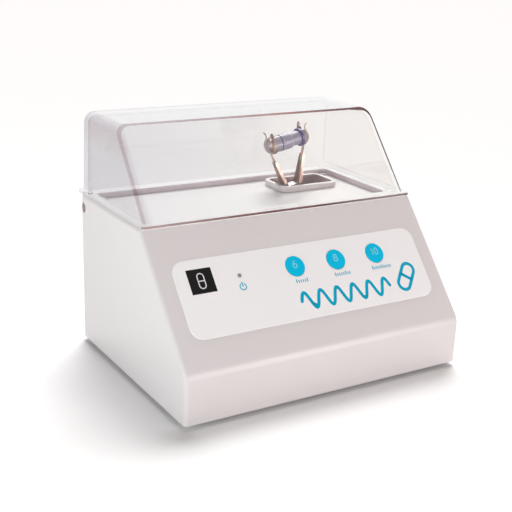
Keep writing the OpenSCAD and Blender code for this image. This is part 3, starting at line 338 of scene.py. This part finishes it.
# Masks for the painted dark lines and painted shade: the bends round the front and back panes, the flange's
# cut edge, the sheet seen end on at the right
hood = remap(lid_place["Z"], flange_top_z, flange_top_z + line_fade)
line_depth = maths("ADD", remap(lid_place["X"], *left_bend_x, -left_line, -top_line),
                   remap(lid_place["X"], *right_bend_x, 0.0, top_line - right_line))
front_edge = times(maths("GREATER_THAN", skin, line_depth),
                   maths("GREATER_THAN", front_skin, line_depth), hood)
back_edge = times(maths("GREATER_THAN", skin, -back_line), maths("GREATER_THAN", back_skin, -back_line),
                  remap(lid_place["Z"], *[flange_top_z + rise for rise in back_line_foot]))
cut_edge = times(remap(lid_place["Z"], flange_low_z + cut_edge_h + cut_fade, flange_low_z + cut_edge_h),
                 remap(lid_place["Y"], flange_front_y + cut_edge_d + cut_fade, flange_front_y + cut_edge_d))
right_sheet = times(remap(lid_place["X"], *right_sheet_x), maths("GREATER_THAN", skin, -sheet_depth),
                    maths("GREATER_THAN", front_skin, -line_fade), hood)
left_side = remap(lid_place["X"], *left_side_x)
roof = remap(lid_turn["Z"], *roof_up)
right_foot = times(remap(lid_place["X"], *right_foot_x), remap(upward, *foot_height))

# Painted shade: panes darker to the left, left side darker near the top, roof a cooler shade to the right
pane_painted_shade = ramp(across, (0.0, (0.83, 0.835, 0.85)), (1.0, (0.94, 0.93, 0.915)))
side_painted_shade = ramp(upward, (0.0, (0.71, 0.705, 0.73)), (0.6, (0.71, 0.705, 0.73)),
                   (0.82, (0.65, 0.61, 0.62)), (1.0, (0.74, 0.72, 0.75)))
roof_painted_shade = ramp(across, (0.0, (0.90, 0.90, 0.90)), (0.5, (0.86, 0.88, 0.90)), (1.0, (0.83, 0.87, 0.90)))
# Painted dark lines for refraction at the bends and for the shadow under the flange; painted grey on the
# end-on sheet
sheet_painted_shade = (0.74, 0.73, 0.71, 1.0)
bend_painted_line = ramp(across, (0.0, (0.50, 0.41, 0.44)), (0.35, (0.36, 0.24, 0.27)), (0.62, (0.24, 0.09, 0.07)),
                   (0.82, (0.06, 0.02, 0.02)), (1.0, (0.02, 0.008, 0.01)))
bend_painted_line = blend(right_foot, bend_painted_line, (0.24, 0.24, 0.27, 1.0))
back_painted_line = ramp(across, (0.0, (0.55, 0.57, 0.64)), (0.7, (0.66, 0.68, 0.73)), (1.0, (0.84, 0.84, 0.85)))
cut_edge_painted_shadow = ramp(across, (0.0, (0.30, 0.17, 0.17)), (0.3, (0.09, 0.025, 0.025)),
                  (0.65, (0.035, 0.008, 0.008)), (0.92, (0.14, 0.08, 0.07)), (1.0, (0.02, 0.01, 0.02)))
lid_colour = pane_painted_shade
for mask, colour in ((left_side, side_painted_shade), (roof, roof_painted_shade), (right_sheet, sheet_painted_shade),
                     (front_edge, bend_painted_line), (back_edge, back_painted_line), (cut_edge, cut_edge_painted_shadow)):
    lid_colour = blend(mask, lid_colour, colour)
link(lid_colour, lid_shader.inputs["Base Color"])

# Only the flat faces are glossy, since a coat on a bend this tight shows as a black line
facings = [lid_turn["X"], lid_turn["Z"]]
facings += [along(lid_coords.outputs["Normal"], normal) for normal in (lid_front_n, lid_back_n)]
flatness = greatest(*[maths("ABSOLUTE", facing) for facing in facings])
link(times(remap(flatness, *flat_enough), outside(greatest(front_edge, back_edge, cut_edge))),
     lid_shader.inputs["Coat Weight"])
lid_haze = add_node(lid_tree, "ShaderNodeTexNoise")
lid_haze.inputs["Scale"].default_value = 60.0
lid_haze.inputs["Detail"].default_value = 6.0
link(remap(lid_haze.outputs["Fac"], *haze_spread, *haze_roughness), lid_shader.inputs["Roughness"])

# Light passes straight through it to what lies under it
lid_path = add_node(lid_tree, "ShaderNodeLightPath").outputs
see_through = add_node(lid_tree, "ShaderNodeBsdfTransparent")
see_through.inputs["Color"].default_value = (0.98, 0.98, 0.98, 1.0)
lid_mix = add_node(lid_tree, "ShaderNodeMixShader")
link(greatest(lid_path["Is Shadow Ray"], lid_path["Is Diffuse Ray"]), lid_mix.inputs["Fac"])
link(lid_shader.outputs["BSDF"], lid_mix.inputs[1])
link(see_through.outputs["BSDF"], lid_mix.inputs[2])
link(lid_mix.outputs["Shader"], lid_tree.nodes["Material Output"].inputs["Surface"])
dress(lid_clear, "lid")

# Hinge pins, the lid's magnet and the sensor that it closes: mauve-brown moulded pins pressed into the side
# walls, a plated disc glued to the left lug, and a small sealed switch inside the back wall.
pin_moulding = grained("pin_moulding", srgb(150, 122, 128), srgb(130, 104, 110), 0.42,
                       patch_scale=60.0, grain_scale=2200.0, grain_height=0.00003)
black_moulding = grained("black_moulding", srgb(44, 42, 46), srgb(30, 29, 32), 0.42,
                         patch_scale=60.0, grain_scale=2200.0, grain_height=0.00003)
zinc_plate = grained("zinc_plate", srgb(190, 188, 186), srgb(150, 150, 154), 0.30, metallic=1.0,
                     patch_scale=120.0, grain_scale=900.0)
dress(pin_moulding, "hinge_pins")
dress(black_moulding, "lid_sensor")
dress(zinc_plate, "lid_magnet")

# Keypad overlay: a pale film with rounded corners and a fine texture, stuck on the slope.
# Its print is a very thin layer of ink: a black tile with a capsule on it, ticks, a power mark and a wave.
film = grained("overlay_film", srgb(250, 247, 247), srgb(247, 244, 244), 0.38,
               patch_scale=20.0, grain_scale=3500.0, grain_height=0.00001)
dress(film, "keypad_overlay")

slope_foot_y, slope_foot_z = -0.08535, 0.036
slope_run_mm, slope_rise_mm = 66.0, 75.5
on_slope = (Matrix.Translation((0.0, slope_foot_y, slope_foot_z))
            @ Matrix.Rotation(math.atan2(slope_rise_mm, slope_run_mm), 4, "X"))
film_top = 0.0006
ink_t = 0.00004


def inked(name, colour, shade, roughness):
    """Printing ink on the film, on a key or on the switch."""
    return grained(name, colour, shade, roughness, patch_scale=80.0, grain_scale=3500.0, grain_height=0.00001)


def plate_mesh(name, outlines, rings, low, high):
    """Closed outlines and rings, in mm, made into thin plates between two heights in metres.
    A ring is a pair of outlines with as many points each."""
    bm = bmesh.new()
    for outer, inner in rings:
        loops = [[bm.verts.new((x / 1000.0, y / 1000.0, level)) for x, y in line]
                 for line, level in ((outer, low), (outer, high), (inner, high), (inner, low))]
        for k in range(len(outer)):
            after = (k + 1) % len(outer)
            for j in range(4):
                beyond = loops[(j + 1) % 4]
                bm.faces.new((loops[j][k], loops[j][after], beyond[after], beyond[k]))
    for outline in outlines:
        face = bm.faces.new([bm.verts.new((x / 1000.0, y / 1000.0, low)) for x, y in outline])
        face.normal_update()
        if face.normal.z > 0:
            face.normal_flip()
        grown = bmesh.ops.extrude_face_region(bm, geom=[face])
        bmesh.ops.translate(bm, vec=(0.0, 0.0, high - low),
                            verts=[v for v in grown["geom"] if isinstance(v, bmesh.types.BMVert)])
    bmesh.ops.recalc_face_normals(bm, faces=bm.faces)
    mesh = bpy.data.meshes.new(name)
    bm.to_mesh(mesh)
    bm.free()
    return mesh


def add_print(name, outlines, rings, ink, face, low, body):
    """Ink on a face of a body. The print starts at the height low over that face, in metres."""
    mesh = plate_mesh(name, outlines, rings, low, low + ink_t)
    mesh.transform(face)
    mesh.materials.append(ink)
    piece = bpy.data.objects.new(name, mesh)
    bpy.context.scene.collection.objects.link(piece)
    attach(piece, body)


def pen_ring(points, width):
    """Outer and inner outline of a closed pen stroke."""
    outer, inner = [], []
    for k, (x, y) in enumerate(points):
        ax, ay = points[k - 1]
        bx, by = points[(k + 1) % len(points)]
        size = math.hypot(bx - ax, by - ay)
        nx, ny = (by - ay) / size * width / 2, (ax - bx) / size * width / 2
        outer.append((x + nx, y + ny))
        inner.append((x - nx, y - ny))
    return outer, inner


def pen_end(tip, before, width, steps=8):
    """Half circle round the end of a pen stroke."""
    heading = math.atan2(tip[1] - before[1], tip[0] - before[0])
    turns = [heading + math.pi / 2 - math.pi * k / steps for k in range(1, steps)]
    return [(tip[0] + width / 2 * math.cos(a), tip[1] + width / 2 * math.sin(a)) for a in turns]


def pen_stroke(points, width):
    """Outline of an open pen stroke with round ends."""
    left, right = [], []
    for k, (x, y) in enumerate(points):
        ax, ay = points[max(k - 1, 0)]
        bx, by = points[min(k + 1, len(points) - 1)]
        size = math.hypot(bx - ax, by - ay)
        nx, ny = (ay - by) / size * width / 2, (bx - ax) / size * width / 2
        left.append((x + nx, y + ny))
        right.append((x - nx, y - ny))
    return left + pen_end(points[-1], points[-2], width) + right[::-1] + pen_end(points[0], points[1], width)


def rounded_outline(w, h, r, steps=8):
    """Rectangle with round corners about the origin."""
    points = []
    for side_x, side_y, start in ((1, 1, 0), (-1, 1, 90), (-1, -1, 180), (1, -1, 270)):
        for k in range(steps + 1):
            a = math.radians(start + 90.0 * k / steps)
            points.append((side_x * (w / 2 - r) + r * math.cos(a), side_y * (h / 2 - r) + r * math.sin(a)))
    return points


def set_down(points, centre, lean=0.0):
    """Points turned by lean, in degrees, and moved to a centre."""
    c, s = math.cos(math.radians(lean)), math.sin(math.radians(lean))
    return [(centre[0] + x * c - y * s, centre[1] + x * s + y * c) for x, y in points]


deep_gloss = 0.12
cyan_ink = inked("cyan_ink", srgb(0, 172, 205), srgb(0, 164, 198), 0.45)
black_ink = inked("black_ink", srgb(16, 13, 14), srgb(10, 9, 10), 0.45)
white_ink = inked("white_ink", srgb(226, 224, 226), srgb(214, 212, 216), 0.40)
for deep_ink in (cyan_ink, black_ink):
    shader_of(deep_ink).inputs["Specular IOR Level"].default_value = deep_gloss

tile_left, tile_right, tile_low, tile_high = -88.1, -70.2, 51.2, 68.2
tile_centre = ((tile_left + tile_right) / 2, (tile_low + tile_high) / 2)
tile = [(tile_left, tile_low), (tile_right, tile_low), (tile_right, tile_high), (tile_left, tile_high)]
add_print("keypad_tile", [tile], [], black_ink, on_slope, film_top, "machine")

thin_pen = 0.75
mark_w, mark_h, mark_r, mark_waist = 4.6, 10.4, 2.25, 1.55
mark_line = pen_stroke(set_down([(-mark_waist, 0.0), (mark_waist, 0.0)], tile_centre), thin_pen)
mark_ring = pen_ring(set_down(rounded_outline(mark_w, mark_h, mark_r), tile_centre), thin_pen)
add_print("tile_mark", [mark_line], [mark_ring], white_ink, on_slope, film_top + ink_t,
          "machine")

button_places = {"6": -7.8, "8": 25.8, "10": 59.4}
tick_pitch, tick_offset, tick_foot = 1.7, 1.5, 47.4
short_tick, tall_tick = 1.5, 2.2
marks = []
for seconds, centre in button_places.items():
    ticks = int(seconds)
    for k in range(ticks):
        x = centre + tick_offset + tick_pitch * (k - (ticks - 1) / 2)
        tick_h = short_tick if k % 5 else tall_tick
        marks.append(pen_stroke([(x, tick_foot), (x, tick_foot + tick_h)], thin_pen))
power_x, power_y, power_r = -51.2, 51.3, 2.3
power_bar_low, power_bar_high = 51.4, 54.4
arc_from, arc_to, arc_step = 125, 415, 15
power_arc = [(power_x + power_r * math.cos(math.radians(a)), power_y + power_r * math.sin(math.radians(a)))
             for a in range(arc_from, arc_to + 1, arc_step)]
marks.append(pen_stroke(power_arc, thin_pen))
marks.append(pen_stroke([(power_x, power_bar_low), (power_x, power_bar_high)], thin_pen))
add_print("keypad_marks", marks, [], cyan_ink, on_slope, film_top, "machine")

broad_pen = 2.4
wave_x, wave_y, wave_length, wave_height, wave_turns, wave_steps = -12.0, 34.0, 74.0, 5.8, 5.5, 150
wave = []
for k in range(wave_steps + 1):
    share = k / wave_steps
    wave.append((wave_x + wave_length * share,
                 wave_y + wave_height * math.sin(2 * math.pi * wave_turns * share)))
capsule_centre, capsule_lean = (78.5, 38.0), -38
capsule_w, capsule_h, capsule_r, capsule_waist = 9.6, 21.5, 4.7, 3.7
capsule_shape = set_down(rounded_outline(capsule_w, capsule_h, capsule_r), capsule_centre, capsule_lean)
waist = set_down([(-capsule_waist, 0.0), (capsule_waist, 0.0)], capsule_centre, capsule_lean)
add_print("keypad_wave", [pen_stroke(wave, broad_pen), pen_stroke(waist, broad_pen)],
          [pen_ring(capsule_shape, broad_pen)], cyan_ink, on_slope, film_top, "machine")

# Keys: three moulded cyan buttons that come up through the overlay and travel half a millimetre.
# Each has its time in seconds printed on it in pale ink.
key_cyan = grained("key_cyan", srgb(0, 197, 236), srgb(0, 190, 230), 0.40,
                   patch_scale=80.0, grain_scale=2600.0, grain_height=0.00001)
shader_of(key_cyan).inputs["Specular IOR Level"].default_value = 0.15
pale_ink = inked("pale_ink", srgb(150, 222, 236), srgb(140, 214, 230), 0.40)
key_top = 0.0009
digit_y, digit_pitch, digit_pen = 60.4, 3.3, 0.62


def arc(cx, cy, rx, ry, start, end, steps):
    """Points of an ellipse from one angle to another, in degrees."""
    angles = [math.radians(start + (end - start) * k / steps) for k in range(steps + 1)]
    return [(cx + rx * math.cos(a), cy + ry * math.sin(a)) for a in angles]


def oval(cx, cy, rx, ry, steps=28):
    """A whole ellipse, without its first point again at the end."""
    return arc(cx, cy, rx, ry, 0, 360, steps)[:-1]


def digit_strokes(digit, cx, cy):
    """Open and closed pen strokes of a digit, about 5 mm tall, round a centre."""
    if digit == "6":
        tail = arc(cx + 1.3, cy - 0.9, 2.75, 3.5, 178, 105, 12)
        return [pen_stroke(tail, digit_pen)], [pen_ring(oval(cx, cy - 1.0, 1.45, 1.5), digit_pen)]
    if digit == "8":
        bowls = oval(cx, cy - 1.15, 1.45, 1.35), oval(cx, cy + 1.35, 1.15, 1.15)
        return [], [pen_ring(bowl, digit_pen) for bowl in bowls]
    if digit == "1":
        return [pen_stroke([(cx - 0.9, cy + 1.5), (cx, cy + 2.4), (cx, cy - 2.4)], digit_pen)], []
    return [], [pen_ring(oval(cx, cy, 1.35, 2.4, steps=32), digit_pen)]


for seconds, centre in button_places.items():
    dress(key_cyan, "button_" + seconds + "s")
    strokes, rings = [], []
    for k, digit in enumerate(seconds):
        digit_x = centre + (k - (len(seconds) - 1) / 2) * digit_pitch
        lines, loops = digit_strokes(digit, digit_x, digit_y)
        strokes += lines
        rings += loops
    add_print("button_" + seconds + "s_print", strokes, rings, pale_ink, on_slope, key_top,
              "key_" + seconds + "s")

# Lamp: the round end of a smoky light pipe, which stands on the control board and comes up through the film.
# It is clear plastic with a fine frost.
lamp_lens = grained("lamp_lens", srgb(150, 148, 150), srgb(120, 120, 124), 0.22,
                    patch_scale=700.0, grain_scale=4000.0)
dress(lamp_lens, "status_lamp")

# Boards behind the keypad and on the base plate: green laminate with black switches and sleeved parts.
# Plated screws hold them, and like screws hold the transformer.
board_green = grained("board_green", srgb(44, 110, 70), srgb(30, 88, 54), 0.35,
                      patch_scale=260.0, grain_scale=1800.0)
part_sleeve = grained("part_sleeve", srgb(70, 76, 112), srgb(52, 56, 88), 0.45, patch_scale=200.0)
dress(board_green, "control_board", "power_board")
dress(part_sleeve, "power_parts")
dress(black_moulding, "key_switches")
dress(zinc_plate, "board_screws", "power_board_screws", "transformer_screws")

# Transformer and rotor: stacked steel laminations, the transformer's with an enamelled copper winding.
# The transformer is screwed to the base plate, and the rotor is pressed on the shaft.
core_stack = grained("core_stack", srgb(96, 96, 100), srgb(66, 66, 72), 0.45, metallic=0.9,
                     patch_scale=200.0)
winding_wire = grained("winding_wire", srgb(176, 100, 52), srgb(140, 74, 38), 0.35, metallic=0.6,
                       patch_scale=400.0, grain_scale=900.0, grain_height=0.0001)
dress(core_stack, "transformer_core", "motor_rotor")
dress(winding_wire, "transformer_winding")

# Motor: a drawn and plated can with a black end cap, screwed to a folded bracket.
# The bracket stands on rubber isolators, and the machine on feet of the same rubber.
rubber = grained("rubber", srgb(46, 45, 46), srgb(34, 33, 34), 0.75,
                 patch_scale=120.0, grain_scale=1400.0, grain_height=0.00004)
dress(zinc_plate, "motor_can", "motor_screws", "motor_bracket", "isolator_bolts", "cup_screws",
      "spring_post")
dress(black_moulding, "motor_end_cap")
dress(rubber, "isolators", "feet")

# Drive line: a ground and oiled steel shaft with its oblique sleeve and bearings, in a cast cup and a cast
# hub. A black set screw clamps the sleeve, and a plated spring keeps the hub from turning with the shaft.
ground_steel = grained("ground_steel", srgb(196, 196, 198), srgb(160, 160, 166), 0.18, metallic=1.0,
                       patch_scale=200.0, grain_scale=2400.0, grain_height=0.000004)
cast_alloy = grained("cast_alloy", srgb(178, 172, 172), srgb(150, 144, 146), 0.45, metallic=0.75,
                     patch_scale=90.0, grain_scale=1600.0, grain_height=0.00005)
dress(ground_steel, "drive_shaft", "end_bearing", "fork_bearing_inner", "fork_bearing_outer",
      "oblique_sleeve")
dress(black_moulding, "sleeve_set_screw")
dress(cast_alloy, "bearing_cup", "fork_hub")
dress(zinc_plate, "fork_spring")

# Fork: two pressed steel channels bolted to the hub, each with a two-petal spring claw riveted in its tip.
# The sheet is brushed along its length and has darker streaks where it was heat treated.
streak_scale = (420.0, 420.0, 30.0)
arm_steel = new_finish("arm_steel", srgb(206, 182, 166), 0.38, metallic=0.65)
arm_tree = arm_steel.node_tree
arm_shader = shader_of(arm_steel)
arm_coords = add_node(arm_tree, "ShaderNodeTexCoord")
arm_stretch = add_node(arm_tree, "ShaderNodeMapping")
arm_stretch.inputs["Scale"].default_value = streak_scale
arm_streaks = add_node(arm_tree, "ShaderNodeTexNoise")
arm_streaks.inputs["Scale"].default_value = 1.0
arm_streaks.inputs["Detail"].default_value = 4.0
arm_bump = add_node(arm_tree, "ShaderNodeBump")
arm_bump.inputs["Distance"].default_value = 0.00003
link(arm_coords.outputs["Object"], arm_stretch.inputs["Vector"])
link(arm_stretch.outputs["Vector"], arm_streaks.inputs["Vector"])
link(ramp(arm_streaks.outputs["Fac"], (0.36, srgb(124, 98, 94)), (0.60, srgb(190, 164, 148))),
     arm_shader.inputs["Base Color"])
link(arm_streaks.outputs["Fac"], arm_bump.inputs["Height"])
link(arm_bump.outputs["Normal"], arm_shader.inputs["Normal"])
dress(arm_steel, "left_arm", "right_arm", "left_claw", "right_claw")
dress(zinc_plate, "arm_bolts", "arm_nuts", "claw_rivets")

# Capsule: a translucent grey-lilac moulding with a dark groove and a painted highlight along its step,
# closed by a cap of the same plastic with a deep purple collar. Both are coloured by the distance along the
# capsule's axis.
capsule_axis, capsule_from, capsule_length = (0.9832, 0.0, 0.1828), 0.0521, 0.0370
groove = (0.303, 0.308, 0.327, 0.332)
# A painted highlight along the step's edge
step_highlight = (0.545, 0.550, 0.562, 0.570)
collar = (0.786, 0.790, 0.826, 0.832)
lilac = grained("capsule_lilac", srgb(160, 152, 170), srgb(148, 139, 158), 0.36,
                patch_scale=90.0, grain_scale=2000.0)
lilac_shader = shader_of(lilac)
lilac_shader.inputs["Subsurface Weight"].default_value = 0.15
lilac_shader.inputs["Subsurface Scale"].default_value = 0.002
lilac_coords = add_node(lilac.node_tree, "ShaderNodeTexCoord")
lengthwise = remap(along(lilac_coords.outputs["Object"], capsule_axis),
                   capsule_from, capsule_from + capsule_length)
lilac_colour = lilac.node_tree.nodes[grain_node].outputs["Colour"]
for band, colour in ((groove, srgb(84, 66, 112)), (step_highlight, srgb(214, 208, 218)),
                     (collar, srgb(78, 56, 120))):
    starts, full, fades, ends = band
    in_band = times(remap(lengthwise, starts, full), remap(lengthwise, ends, fades))
    lilac_colour = blend(in_band, lilac_colour, colour)
link(lilac_colour, lilac_shader.inputs["Base Color"])
dress(lilac, "capsule_body", "capsule_cap")

# Base: a zinc-plated sheet with slots for air.
# Plated screws hold it to the posts inside the housing.
dress(zinc_plate, "base_plate", "base_screws")

# Back: mains inlet with plated contacts, fuse holder, and the power switch in its snap-in frame.
# Their bodies are black mouldings. The rocker has a bar for on and a ring for off printed on it in white.
dress(black_moulding, "mains_inlet", "fuse_holder", "switch_frame", "power_rocker")
dress(zinc_plate, "inlet_contacts")
bar_half, bar_pen = 1.6, 0.8
ring_r, ring_pen = 1.7, 0.7
on_bar = pen_stroke([(0.0, -bar_half), (0.0, bar_half)], bar_pen)
off_ring = pen_ring(oval(0.0, 0.0, ring_r, ring_r), ring_pen)
for name, strokes, rings, centre, tilt in (
        ("switch_on", [on_bar], [], (-0.008, 0.082145, 0.035895), 17.1),
        ("switch_off", [], [off_ring], (-0.008, 0.08063, 0.02514), -1.1)):
    on_rocker = (Matrix.Translation(centre) @ Matrix.Rotation(math.pi, 4, "Z")
                 @ Matrix.Rotation(math.radians(90.0 + tilt), 4, "X"))
    add_print(name, strokes, rings, white_ink, on_rocker, 0.0, "rocker")

# Floor: a wide pale table top that keeps the shadow. The camera sees it a little paler than the light does,
# so that it meets the white surround.
floor_half = 6.0
floor_corners = [(-floor_half, -floor_half, 0), (floor_half, -floor_half, 0),
                 (floor_half, floor_half, 0), (-floor_half, floor_half, 0)]
floor_mesh = bpy.data.meshes.new("floor")
floor_mesh.from_pydata(floor_corners, [], [(0, 1, 2, 3)])
floor = bpy.data.objects.new("floor", floor_mesh)
bpy.context.scene.collection.objects.link(floor)
floor_paper = bpy.data.materials.new("floor_paper")
floor_paper.use_nodes = True
floor_tree = floor_paper.node_tree
floor_tree.nodes.remove(shader_of(floor_paper))
floor_matt = add_node(floor_tree, "ShaderNodeBsdfDiffuse")
floor_path = add_node(floor_tree, "ShaderNodeLightPath").outputs
link(blend(greatest(floor_path["Is Camera Ray"], floor_path["Is Transmission Ray"]),
           (0.95, 0.95, 0.95, 1.0), (1.16, 1.16, 1.16, 1.0)), floor_matt.inputs["Color"])
link(floor_matt.outputs["BSDF"], floor_tree.nodes["Material Output"].inputs["Surface"])
floor_mesh.materials.append(floor_paper)

# Surround: plain white where the camera, polished metal or the clear lid shows it.
# Elsewhere it is a dim warm fill.
world = bpy.data.worlds.new("surround")
bpy.context.scene.world = world
world.use_nodes = True
world_tree = world.node_tree
for old in list(world_tree.nodes):
    world_tree.nodes.remove(old)
fill = add_node(world_tree, "ShaderNodeBackground")
fill.inputs["Color"].default_value = (1.0, 0.84, 0.80, 1.0)
fill.inputs["Strength"].default_value = 0.15
white = add_node(world_tree, "ShaderNodeBackground")
white.inputs["Color"].default_value = (1.0, 1.0, 1.0, 1.0)
white.inputs["Strength"].default_value = 1.0
world_path = add_node(world_tree, "ShaderNodeLightPath").outputs
surround = add_node(world_tree, "ShaderNodeMixShader")
world_out = add_node(world_tree, "ShaderNodeOutputWorld")
link(greatest(world_path["Is Camera Ray"], world_path["Is Glossy Ray"], world_path["Is Transmission Ray"]),
     surround.inputs["Fac"])
link(fill.outputs["Background"], surround.inputs[1])
link(white.outputs["Background"], surround.inputs[2])
link(surround.outputs["Shader"], world_out.inputs["Surface"])


# Lamps: a large soft one behind, above and to the right, and two low soft boxes at the left and in front.
# They are low so that they light the walls and the slope and leave the shadow on the floor.
def hang_lamp(name, kind, energy, shines_from):
    """A lamp whose light comes from a direction."""
    lamp_data = bpy.data.lights.new(name, kind)
    lamp_data.energy = energy
    lamp = bpy.data.objects.new(name, lamp_data)
    bpy.context.scene.collection.objects.link(lamp)
    lamp.rotation_euler = shines_from.to_track_quat("Z", "Y").to_euler()
    return lamp


back_lamp = hang_lamp("back_lamp", "SUN", 2.95, Vector((0.40, 0.52, 0.755)))
back_lamp.data.angle = math.radians(42)
lamp_aim = Vector((0.0, -0.05, 0.05))
for name, watts, size, colour, place in (
        ("left_lamp", 6.3, 0.50, (0.89, 0.985, 1.0), Vector((-0.80, -0.30, 0.05))),
        ("front_lamp", 6.5, 0.40, (1.0, 0.96, 0.95), Vector((0.46, -0.93, 0.06)))):
    soft_box = hang_lamp(name, "AREA", watts, place - lamp_aim)
    soft_box.location = place
    soft_box.data.shape = "SQUARE"
    soft_box.data.size = size
    soft_box.data.color = colour
